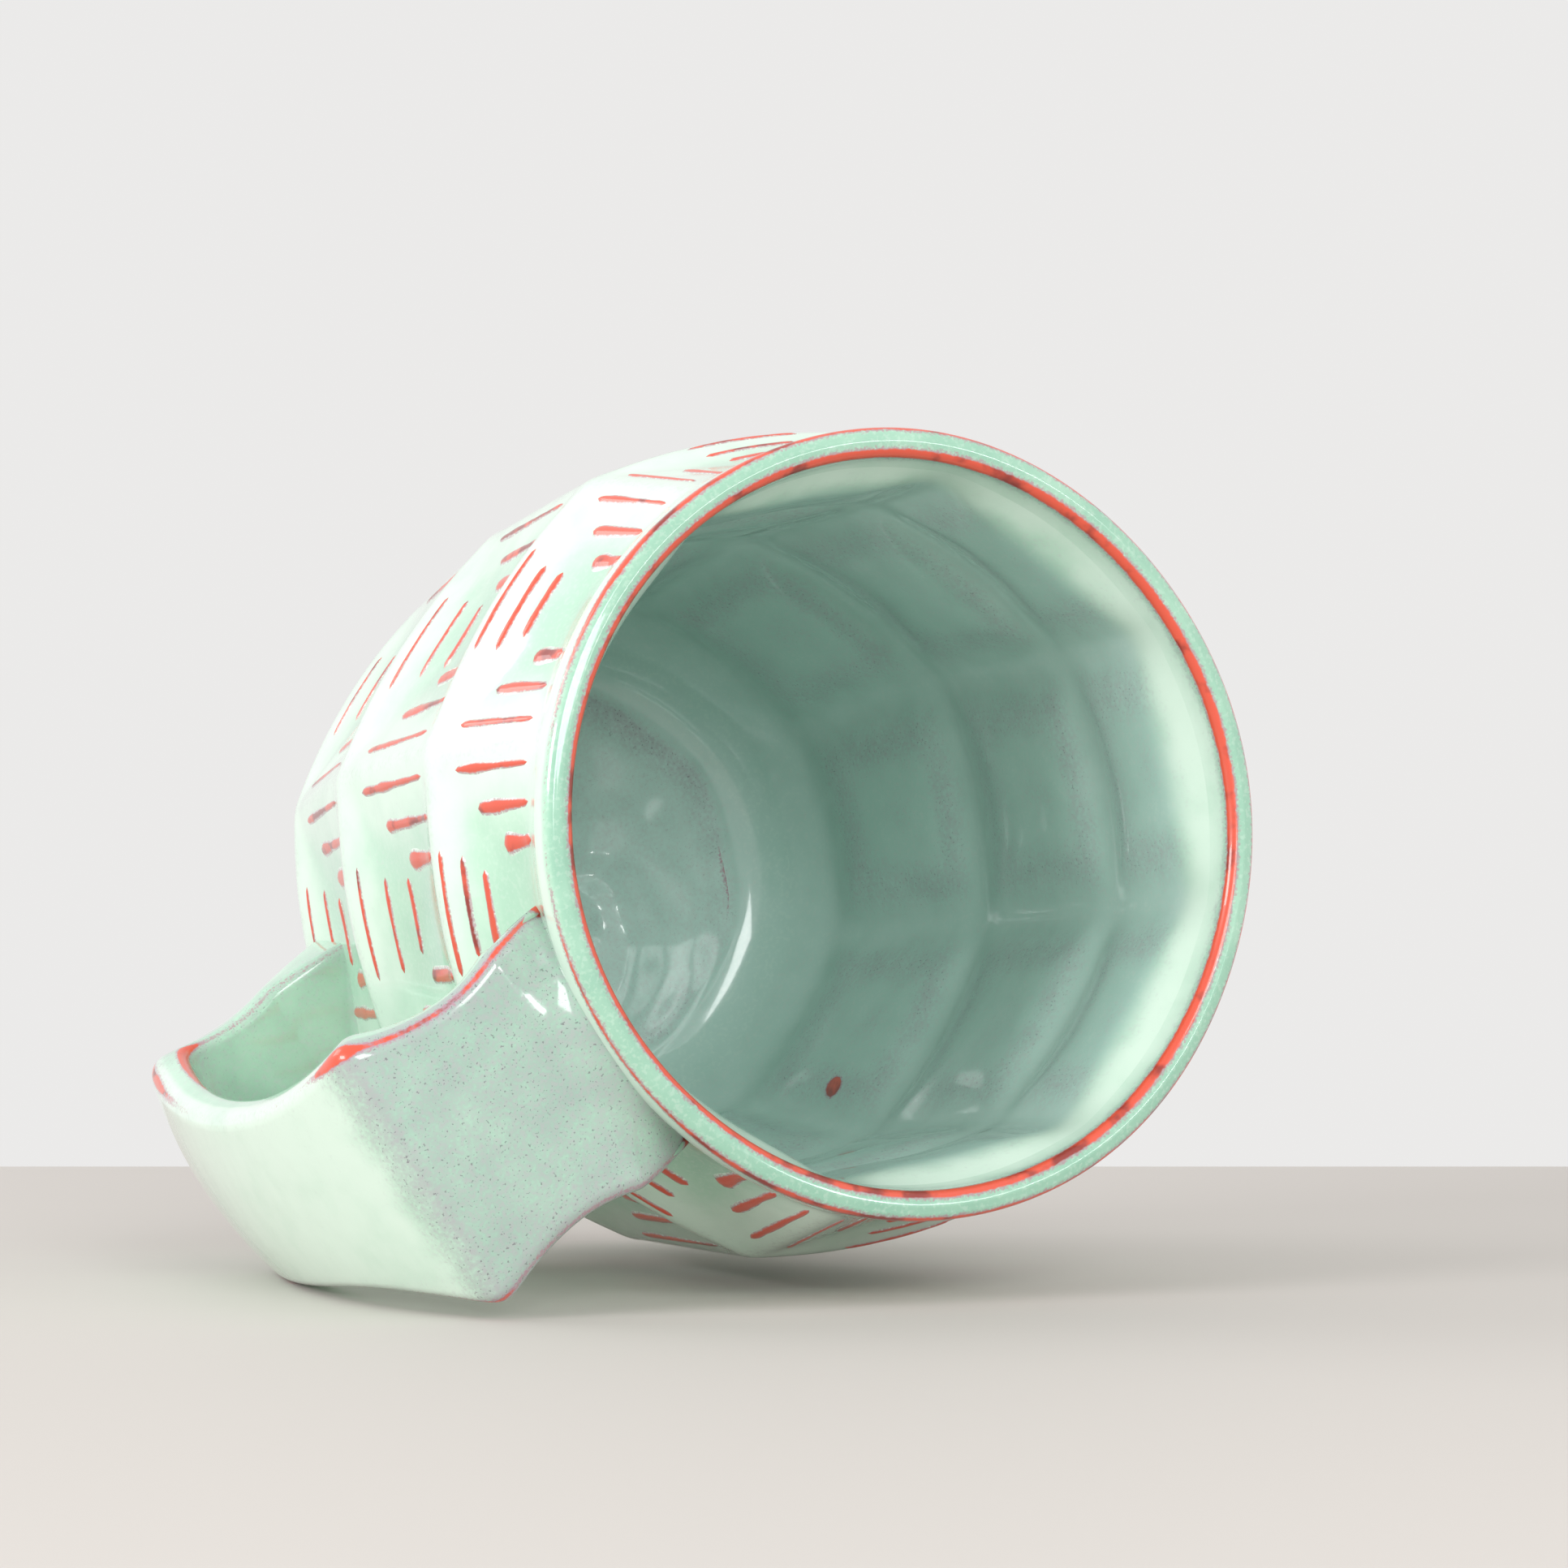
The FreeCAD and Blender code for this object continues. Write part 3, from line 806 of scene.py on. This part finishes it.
def stroke_tree(material):
    """Node tree that repeats one column's strokes round the mug and gives each its swollen body."""
    tree = bpy.data.node_groups.new("Relief strokes", "GeometryNodeTree")
    node = partial(add_node, tree)
    tree.interface.new_socket("Guides", in_out="INPUT", socket_type="NodeSocketGeometry")
    sizes = (
        ("Columns", "Int", COLUMNS), ("Half width", "Float", 0.0005), ("Rise", "Float", 0.0003),
        ("Ring spacing", "Float", 0.0006), ("Wobble", "Float", 0.4), ("Seed", "Int", 0),
    )
    for name, kind, value in sizes:
        tree.interface.new_socket(name, in_out="INPUT", socket_type="NodeSocket" + kind).default_value = value
    tree.interface.new_socket("Strokes", in_out="OUTPUT", socket_type="NodeSocketGeometry")
    guides = node("NodeGroupInput", output="Guides")
    columns, half_width, rise_m, spacing, wobble, seed = (
        node("NodeGroupInput", output=name) for name, _, _ in sizes
    )
    facing, turned, fatness, taper, radius_m, across, lift = (
        node("GeometryNodeInputNamedAttribute", {"Name": name}, data_type=kind)
        for name, kind in (
            ("facing", "FLOAT_VECTOR"), ("turned", "FLOAT"), ("fatness", "FLOAT"), ("taper", "FLOAT"),
            ("radius_m", "FLOAT"), ("across", "FLOAT"), ("lift", "FLOAT"),
        )
    )

    # One copy of the column's guides for each column, each knowing its own turn
    line = node("GeometryNodeMeshToCurve", {"Mesh": guides})
    spots = node("GeometryNodePoints", {"Count": columns})
    share = node("ShaderNodeMath", {0: node("GeometryNodeInputIndex"), 1: columns}, operation="DIVIDE")
    angle = node("ShaderNodeMath", {0: share, 1: TAU}, operation="MULTIPLY")
    spin = node("ShaderNodeCombineXYZ", {"Z": angle})
    copies = node("GeometryNodeInstanceOnPoints", {"Points": spots, "Instance": line, "Rotation": spin})
    marked = node(
        "GeometryNodeStoreNamedAttribute", {"Geometry": copies, "Name": "turned", "Value": angle},
        data_type="FLOAT", domain="INSTANCE",
    )
    lines = node("GeometryNodeRealizeInstances", {"Geometry": marked})

    # Uneven lengths, then evenly spaced rings
    which = node("GeometryNodeInputIndex")
    lead, tail = (
        node(
            "FunctionNodeRandomValue", {2: low, 3: high, "ID": which, "Seed": seed}, output=1,
            data_type="FLOAT",
        )
        for low, high in ((0.0, 0.07), (0.91, 1.0))
    )
    trimmed = node("GeometryNodeTrimCurve", {"Curve": lines, 2: lead, 3: tail}, mode="FACTOR")
    even = node("GeometryNodeResampleCurve", {"Curve": trimmed, "Length": spacing}, mode="LENGTH")

    # The profile lies flat on the wall
    normal = node("ShaderNodeVectorRotate", {"Vector": facing, "Angle": turned}, rotation_type="Z_AXIS")
    laid = node("GeometryNodeSetCurveNormal", {"Curve": even, "Normal": normal}, mode="FREE")

    # Radius: thin where the tool lands, fat where it lifts, rounded ends and a wavering hand
    way = node("GeometryNodeSplineParameter", output="Factor")
    shapes = []
    for first, last, between in (
        ((0, 0.66), (1, 0.8), ((0.35, 0.74), (0.82, 1.0))),
        ((0, 0.12), (1, 0.12), ((0.03, 0.62), (0.08, 0.95), (0.5, 1), (0.92, 0.95), (0.97, 0.62))),
    ):
        shape = node("ShaderNodeFloatCurve", {"Value": way})
        drawn = shape.node.mapping
        drawn.curves[0].points[0].location, drawn.curves[0].points[1].location = first, last
        for x, y in between:
            drawn.curves[0].points.new(x, y)
        drawn.update()
        shapes.append(shape)
    body, ends = shapes
    swollen = node("ShaderNodeMix", {"Factor": taper, "A": 0.85, "B": body})
    waver = node("ShaderNodeTexNoise", {"Scale": 260.0, "Detail": 2.0, "W": seed}, noise_dimensions="4D")
    centred = node("ShaderNodeMath", {0: waver, 1: 0.5}, operation="SUBTRACT")
    shaken = node("ShaderNodeMath", {0: centred, 1: wobble, 2: 0.5}, operation="MULTIPLY_ADD")
    radius = half_width
    for factor in (fatness, swollen, ends, shaken, 2.0):
        radius = node("ShaderNodeMath", {0: radius, 1: factor}, operation="MULTIPLY")
    sized = node(
        "GeometryNodeStoreNamedAttribute", {"Geometry": laid, "Name": "radius_m", "Value": radius},
        data_type="FLOAT", domain="POINT",
    )

    # Profile: a low mound whose skirts run into the wall, each point knowing its place across
    circle = node("GeometryNodeCurvePrimitiveCircle", {"Resolution": 14, "Radius": 1.0})
    spot = node("GeometryNodeInputPosition")
    x, y = (node("ShaderNodeSeparateXYZ", {"Vector": spot}, output=axis) for axis in "XY")
    cube = node("ShaderNodeMath", {0: y, 1: 3.0}, operation="POWER")
    for name, value in (("across", x), ("lift", cube)):
        circle = node(
            "GeometryNodeStoreNamedAttribute", {"Geometry": circle, "Name": name, "Value": value},
            data_type="FLOAT", domain="POINT",
        )
    wide = node("ShaderNodeMath", {0: x, 1: -STROKE_SKIRT}, operation="MULTIPLY")
    mound = node("ShaderNodeCombineXYZ", {"X": 0.0, "Y": wide})
    section = node("GeometryNodeSetPosition", {"Geometry": circle, "Position": mound})
    body = node(
        "GeometryNodeCurveToMesh",
        {"Curve": sized, "Profile Curve": section, "Scale": radius_m, "Fill Caps": True},
    )

    # What the glaze reads, bare on the crest and ordinary on the skirts, and each point's height off the wall
    off_crest = node("ShaderNodeMath", {0: across}, operation="ABSOLUTE")
    past = node("ShaderNodeMath", {0: off_crest, 1: STROKE_SKIRT, 2: -1.0}, operation="MULTIPLY_ADD")
    metres = node("ShaderNodeMath", {0: past, 1: radius_m}, operation="MULTIPLY")
    breaks = node("ShaderNodeMath", {0: metres, 1: 1 / MM}, operation="MULTIPLY")
    share = node("ShaderNodeMath", {0: radius_m, 1: half_width}, operation="DIVIDE")
    steep = node("ShaderNodeMath", {0: share, 1: 0.55}, operation="POWER")
    crest = node("ShaderNodeMath", {0: steep, 1: rise_m}, operation="MULTIPLY")
    proud = node("ShaderNodeMath", {0: lift, 1: crest}, operation="MULTIPLY")
    proud = node("ShaderNodeMath", {0: proud, 1: 1 / MM, 2: -STROKE_SINK}, operation="MULTIPLY_ADD")
    for name, value in (("break_mm", breaks), ("thin", 0.05), ("pool", 0.12), ("proud_mm", proud)):
        body = node(
            "GeometryNodeStoreNamedAttribute", {"Geometry": body, "Name": name, "Value": value},
            data_type="FLOAT", domain="POINT",
        )
    body = node("GeometryNodeSetShadeSmooth", {"Geometry": body})
    body = node("GeometryNodeRealizeInstances", {"Geometry": body})
    body = node("GeometryNodeSetMaterial", {"Geometry": body, "Material": material})
    node("NodeGroupOutput", {"Strokes": body})
    return tree


def relief_strokes(mesh, material, settings):
    """The strokes' own plain mesh, made by running the tree over the guides."""
    carrier = placed("relief_strokes", mesh)
    tree = stroke_tree(material)
    modifier = carrier.modifiers.new("Strokes", "NODES")
    modifier.node_group = tree
    given = {
        "Columns": COLUMNS, "Half width": settings.width / 2, "Rise": settings.rise,
        "Ring spacing": settings.spacing, "Wobble": settings.wobble, "Seed": settings.seed,
    }
    for item in tree.interface.items_tree:
        if item.in_out == "INPUT" and item.name in given:
            modifier[item.identifier] = given[item.name]
    evaluated = carrier.evaluated_get(bpy.context.evaluated_depsgraph_get())
    plain = bpy.data.meshes.new_from_object(evaluated)
    carrier.modifiers.remove(modifier)
    bpy.data.objects.remove(carrier)
    plain.name = "relief_strokes"
    return plain


def lay_on(skin, mesh):
    """Move a mesh's points so that each stands its own height off a skin."""
    count = len(mesh.vertices)
    spots, proud = np.empty(count * 3, np.float32), np.empty(count, np.float32)
    mesh.vertices.foreach_get("co", spots)
    mesh.attributes["proud_mm"].data.foreach_get("value", proud)
    x, y, z = spots.reshape(-1, 3).T.astype(float) / MM
    turn = np.arctan2(y, x) * COLUMNS / TAU
    laid = hand_thrown(polar(skin.radius(turn, z) + proud, turn, z)) * MM
    mesh.vertices.foreach_set("co", laid.astype(np.float32).ravel())
    mesh.update()


# Finishes


def linear(digits):
    """Linear RGBA of an sRGB colour written as six hex digits."""
    channels = [int(digits[k:k + 2], 16) / 255 for k in (0, 2, 4)]
    return [c / 12.92 if c <= 0.04045 else ((c + 0.055) / 1.055) ** 2.4 for c in channels] + [1.0]


def blank_material(name):
    """Material with an empty node tree."""
    material = bpy.data.materials.new(name)
    material.use_nodes = True
    material.node_tree.nodes.clear()
    return material, material.node_tree


def mint_breaking_glaze(c):
    """Glossy mint glaze, dipped over red stoneware and fired until it runs.

    It pools green in hollows, lies pale over soft ridges, lets the clay through as grey violet where
    it is thin, and breaks to the bare red body along sharp edges with a speckled purple fringe. Its grey
    violet also stands for painted shade round the rim of the cup's floor; with the deep green it is partly
    painted shade on the handle's top panel, and its pale on the handle's grip is partly a painted highlight.
    """
    material, tree = blank_material("glossy_mint_glaze")
    node = partial(add_node, tree)
    where = node("ShaderNodeTexCoord", output="Object")
    pool, thin, cool, break_mm = (
        node("ShaderNodeAttribute", output="Fac", attribute_name=name, attribute_type="GEOMETRY")
        for name in ("pool", "thin", "cool", "break_mm")
    )
    speck, grain, cloud, drift, peel = (
        node("ShaderNodeTexNoise", {"Vector": where, "Scale": 1000 / size_mm, "Detail": detail})
        for size_mm, detail in ((0.32, 1.0), (0.55, 3.0), (4.5, 3.0), (18.0, 2.0), (5.0, 1.0))
    )

    def around(pattern, amount, base):
        """A value that a pattern moves up and down."""
        centred = node("ShaderNodeMath", {0: pattern, 1: 0.5}, operation="SUBTRACT")
        return node("ShaderNodeMath", {0: centred, 1: amount, 2: base}, operation="MULTIPLY_ADD")

    def laid_over(under, layers):
        """Colours laid over another one, each where a value runs from a start to an end."""
        for value, start, end, most, over in layers:
            share = node(
                "ShaderNodeMapRange",
                {"Value": value, "From Min": start, "From Max": end, "To Min": 0.0, "To Max": most},
                interpolation_type="SMOOTHSTEP",
            )
            over = linear(over) if isinstance(over, str) else over
            under = node(
                "ShaderNodeMix", {"Factor": share, 6: under, 7: over}, output=2, data_type="RGBA"
            )
        return under, share

    pooled = around(cloud, 0.30, around(drift, 0.45, pool))
    seen = around(grain, 1.1, around(cloud, 0.45, thin))
    edge = around(cloud, 0.45, around(grain, 0.35, break_mm))
    specks = node(
        "ShaderNodeMapRange",
        {"Value": thin, "From Min": 0.15, "From Max": 0.8, "To Min": 0.0, "To Max": 0.55},
        interpolation_type="SMOOTHSTEP",
    )
    crest, _ = laid_over(linear(c.ember), [(around(drift, 0.6, cloud), 0.52, 0.68, 1.0, c.rust)])
    surface, bare = laid_over(linear(c.pale), [
        # Thickness of the glaze, from thin and pale to pooled and green, and bluer in the cup
        (pooled, 0.0, 0.5, 1.0, c.mint),
        (pooled, 0.4, 1.0, 1.0, c.deep),
        (cool, 0.0, 1.0, 0.6, c.celadon),
        (grain, 0.48, 0.70, 0.22, c.pale),
        # Clay seen through thin glaze, with iron specks; this grey also lays the painted shade round the cup
        # floor's rim and on the handle's top panel
        (seen, 0.15, 1.25, 0.85, c.grey),
        (speck, 0.64, 0.74, specks, c.fleck),
        # Breaks: a purple speckled fringe, then the bare crest
        (around(speck, 1.1, edge), 0.42, 0.0, 0.7, c.fringe),
        (edge, 0.08, -0.14, 1.0, crest),
    ])

    # A wet gloss over a skin that is faintly rippled, duller where the clay is bare
    gloss = node(
        "ShaderNodeMapRange", {"Value": bare, "To Min": 0.13, "To Max": 0.30}, interpolation_type="SMOOTHSTEP"
    )
    ripple = node("ShaderNodeMath", {0: grain, 1: 0.12, 2: peel}, operation="MULTIPLY_ADD")
    bump = node("ShaderNodeBump", {"Height": ripple, "Strength": 1.0, "Distance": 0.00006})
    shader = node(
        "ShaderNodeBsdfPrincipled",
        {"Base Color": surface, "Roughness": gloss, "Normal": bump, "IOR": 1.5, "Coat Weight": 0.6,
         "Coat Roughness": 0.03, "Coat IOR": 1.5},
    )
    node("ShaderNodeOutputMaterial", {"Surface": shader})
    return material


def bare_red_clay(c):
    """Red stoneware left unglazed under the foot: matt, slightly gritty, toasted in patches."""
    material, tree = blank_material("unglazed_stoneware")
    node = partial(add_node, tree)
    where = node("ShaderNodeTexCoord", output="Object")
    grit, toast = (
        node("ShaderNodeTexNoise", {"Vector": where, "Scale": scale, "Detail": detail})
        for scale, detail in ((2200.0, 3.0), (120.0, 2.0))
    )
    blend = node("ShaderNodeMath", {0: grit, 1: toast}, operation="MULTIPLY")
    patch = node("ShaderNodeMapRange", {"Value": blend, "From Min": 0.12, "From Max": 0.42})
    body = node(
        "ShaderNodeMix", {"Factor": patch, 6: linear(c.clay_dark), 7: linear(c.clay)}, output=2,
        data_type="RGBA",
    )
    bump = node("ShaderNodeBump", {"Height": grit, "Strength": 1.0, "Distance": 0.00012})
    shader = node(
        "ShaderNodeBsdfPrincipled", {"Base Color": body, "Roughness": 0.86, "Normal": bump, "IOR": 1.45}
    )
    node("ShaderNodeOutputMaterial", {"Surface": shader})
    return material


def finish(slot):
    """The finish for one of the record's slots, made the first time that it is asked for."""
    name, maker = {
        GLAZE: ("glossy_mint_glaze", mint_breaking_glaze), CLAY: ("unglazed_stoneware", bare_red_clay)
    }[slot]
    return bpy.data.materials.get(name) or maker(bpy.context.scene.mug_glaze)


def pale_floor(digits):
    """Matt pale card that shows only from above, so that the mug is seen from every side."""
    material, tree = blank_material("pale_card")
    node = partial(add_node, tree)
    card = node("ShaderNodeBsdfPrincipled", {"Base Color": linear(digits), "Roughness": 0.7})
    clear = node("ShaderNodeBsdfTransparent")
    behind = node("ShaderNodeNewGeometry", output="Backfacing")
    node("ShaderNodeOutputMaterial", {"Surface": node("ShaderNodeMixShader", {0: behind, 1: card, 2: clear})})
    return material


# Operators


class MUG_OT_wall(bpy.types.Operator):
    """Make the faceted wall, glazed inside and out"""

    bl_idname = "mug.wall"
    bl_label = "Faceted Wall"

    def execute(self, context):
        s = in_mm(context.scene.mug_sizes)
        cup = cup_skin(s)
        seat = plain_rings(
            [(s.floor_radius, s.floor_top), (s.floor_radius, s.foot_height)], cup.turns,
            break_mm=UNBROKEN, thin=0.3, pool=0.3, cool=0.0,
        )
        piece("wall_glazed", joined(cup.outer, cup.inner, seat), "loop", finish(GLAZE), "body_wall")
        return {"FINISHED"}


class MUG_OT_rim(bpy.types.Operator):
    """Make the round lip with its two broken edges"""

    bl_idname = "mug.rim"
    bl_label = "Rim Band"

    def execute(self, context):
        cup = cup_skin(in_mm(context.scene.mug_sizes))
        piece("rim_glazed", cup.lip, "loop", finish(GLAZE), "rim_band")
        return {"FINISHED"}


class MUG_OT_floor(bpy.types.Operator):
    """Make the floor of the cup"""

    bl_idname = "mug.floor"
    bl_label = "Cup Floor"

    def execute(self, context):
        s = in_mm(context.scene.mug_sizes)
        cup = cup_skin(s)
        under = [(r, s.foot_height) for r in np.linspace(0.6, s.floor_radius, 12)]
        under.append((s.floor_radius, s.floor_top))
        under = plain_rings(under, cup.turns, break_mm=UNBROKEN, thin=0.45, pool=0.35, cool=0.0)
        piece("floor_glazed", joined(under, cup.floor), "points", finish(GLAZE), "floor_disc")
        return {"FINISHED"}


class MUG_OT_foot(bpy.types.Operator):
    """Make the bare clay ring that the mug stands on"""

    bl_idname = "mug.foot"
    bl_label = "Foot Ring"

    def execute(self, context):
        turns = np.arange(COLUMNS * 32) / 32
        ring = plain_rings(round_foot(in_mm(context.scene.mug_sizes)), turns)
        piece("foot_bare", ring, "loop", finish(CLAY), "foot_ring")
        return {"FINISHED"}


class MUG_OT_handle(bpy.types.Operator):
    """Make the folded strap and the two joints that carry it"""

    bl_idname = "mug.handle"
    bl_label = "Strap Handle"

    def execute(self, context):
        scene = context.scene
        sheet, first, last = handle_sheet(in_mm(scene.mug_sizes), in_mm(scene.mug_handle))
        glaze = finish(GLAZE)
        for name, part, node in (
            ("upper_joint_glazed", sheet.cut(0, first + 1), "upper_handle_joint"),
            ("strap_glazed", sheet.cut(first, last), "handle_slab"),
            ("lower_joint_glazed", sheet.cut(last - 1, None), "lower_handle_joint"),
        ):
            piece(name, part, "points", glaze, node)
        return {"FINISHED"}


class MUG_OT_strokes(bpy.types.Operator):
    """Make the fans of relief strokes in every cell of the outer wall"""

    bl_idname = "mug.strokes"
    bl_label = "Relief Strokes"

    def execute(self, context):
        scene = context.scene
        guides = stroke_guides(in_mm(scene.mug_sizes), scene.mug_strokes.longest)
        glaze = finish(GLAZE)
        mesh = relief_strokes(guide_mesh(guides), glaze, scene.mug_strokes)
        if not mesh.polygons:
            raise RuntimeError("the stroke tree made no faces")
        lay_on(outside_skin(in_mm(scene.mug_sizes)), mesh)
        shown("relief_strokes", mesh, glaze)
        return {"FINISHED"}


class MUG_OT_stage(bpy.types.Operator):
    """Set the pale floor, the soft lights and the camera; the mug lies on its side on the floor"""

    bl_idname = "mug.stage"
    bl_label = "Stage"

    def execute(self, context):
        scene = context.scene
        stage = scene.mug_stage
        look, up = Vector(stage.camera_look).normalized(), Vector(stage.camera_up)
        right = look.cross(up).normalized()
        up = right.cross(look)
        camera = placed("camera", bpy.data.cameras.new("camera"))
        camera.data.sensor_width, camera.data.lens = 36, stage.lens
        camera.data.clip_start = 0.01
        facing = Matrix((right, up, -look)).transposed().to_4x4()
        camera.matrix_world = Matrix.Translation(stage.camera_at) @ facing
        scene.camera = camera

        level = (math.cos(stage.floor_pitch) * up - math.sin(stage.floor_pitch) * look).normalized()
        away = (look - look.dot(level) * level).normalized()
        across = away.cross(level)
        lowest = min(level.dot(v.co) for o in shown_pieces() for v in o.data.vertices)
        centre = Vector((0.005, 0, 0.06))
        foot = centre + (lowest - level.dot(centre)) * level
        near, far, wide = 0.5, stage.floor_depth, 0.9
        spread = ((-near, -wide), (-near, wide), (far, wide), (far, -wide))
        corners = [foot + a * away + b * across for a, b in spread]
        mesh = bpy.data.meshes.new("floor")
        mesh.from_pydata([list(p) for p in corners], [], [(0, 1, 2, 3)])
        mesh.materials.append(pale_floor(stage.floor_colour))
        floor = placed("floor", mesh)
        floor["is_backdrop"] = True
        if mesh.polygons[0].normal.dot(level) < 0:
            raise RuntimeError("the floor faces away from the mug")

        # Each light's power, its two sides, and where it stands: to the right, up and towards the camera
        for name, energy, size, place in (
            ("key", stage.key_power, (0.40, 0.60), (-0.85, 0.50, -0.25)),
            ("front", stage.front_power, (0.26, 0.50), (-0.80, 0.34, 0.66)),
            ("fill", stage.fill_power, (0.9, 0.7), (0.55, 0.80, 0.30)),
            ("cup", stage.cup_power, (0.35, 0.35), (0.24, 0.36, 0.90)),
            ("window", stage.window_power, (0.06, 0.30), (0.76, 0.27, 0.60)),
        ):
            light = placed(name, bpy.data.lights.new(name, "AREA"))
            light.data.shape, light.data.energy = "RECTANGLE", energy
            light.data.size, light.data.size_y = size
            offset = place[0] * right + place[1] * level - place[2] * look
            light.location = centre + offset
            light.rotation_euler = offset.to_track_quat("Z", "Y").to_euler()

        world = bpy.data.worlds.new("pale_room")
        world.use_nodes = True
        world.node_tree.nodes["Background"].inputs["Color"].default_value = linear(stage.sky_colour)
        world.node_tree.nodes["Background"].inputs["Strength"].default_value = stage.sky
        scene.world = world
        scene.view_settings.view_transform = "Standard"
        return {"FINISHED"}


class MUG_PT_sidebar(bpy.types.Panel):
    """Every size and colour, with a button for each piece"""

    bl_idname = "MUG_PT_sidebar"
    bl_label = "Faceted Glazed Mug"
    bl_space_type = "VIEW_3D"
    bl_region_type = "UI"
    bl_category = "Mug"

    def draw(self, context):
        scene = context.scene
        for title, group in (
            ("Cup", scene.mug_sizes), ("Handle", scene.mug_handle), ("Strokes", scene.mug_strokes),
            ("Glaze", scene.mug_glaze), ("Stage", scene.mug_stage),
        ):
            column = self.layout.column(heading=title)
            for name in type(group).__annotations__:
                column.prop(group, name)
        for operator in OPERATORS:
            self.layout.operator(operator.bl_idname)


GROUPS = {
    "mug_sizes": MugSizes, "mug_handle": HandleSizes, "mug_strokes": StrokeSettings,
    "mug_glaze": GlazeColours, "mug_stage": StageSettings,
}
OPERATORS = (MUG_OT_wall, MUG_OT_rim, MUG_OT_floor, MUG_OT_foot, MUG_OT_handle, MUG_OT_strokes, MUG_OT_stage)


def register():
    for cls in (*GROUPS.values(), *OPERATORS, MUG_PT_sidebar):
        bpy.utils.register_class(cls)
    for name, group in GROUPS.items():
        setattr(bpy.types.Scene, name, bpy.props.PointerProperty(type=group))


def unregister():
    for name in GROUPS:
        delattr(bpy.types.Scene, name)
    for cls in reversed((*GROUPS.values(), *OPERATORS, MUG_PT_sidebar)):
        bpy.utils.unregister_class(cls)


def main():
    register()
    for make in (
        bpy.ops.mug.wall, bpy.ops.mug.rim, bpy.ops.mug.floor, bpy.ops.mug.foot, bpy.ops.mug.handle,
        bpy.ops.mug.strokes, bpy.ops.mug.stage,
    ):
        make()


if __name__ == "__main__":
    main()
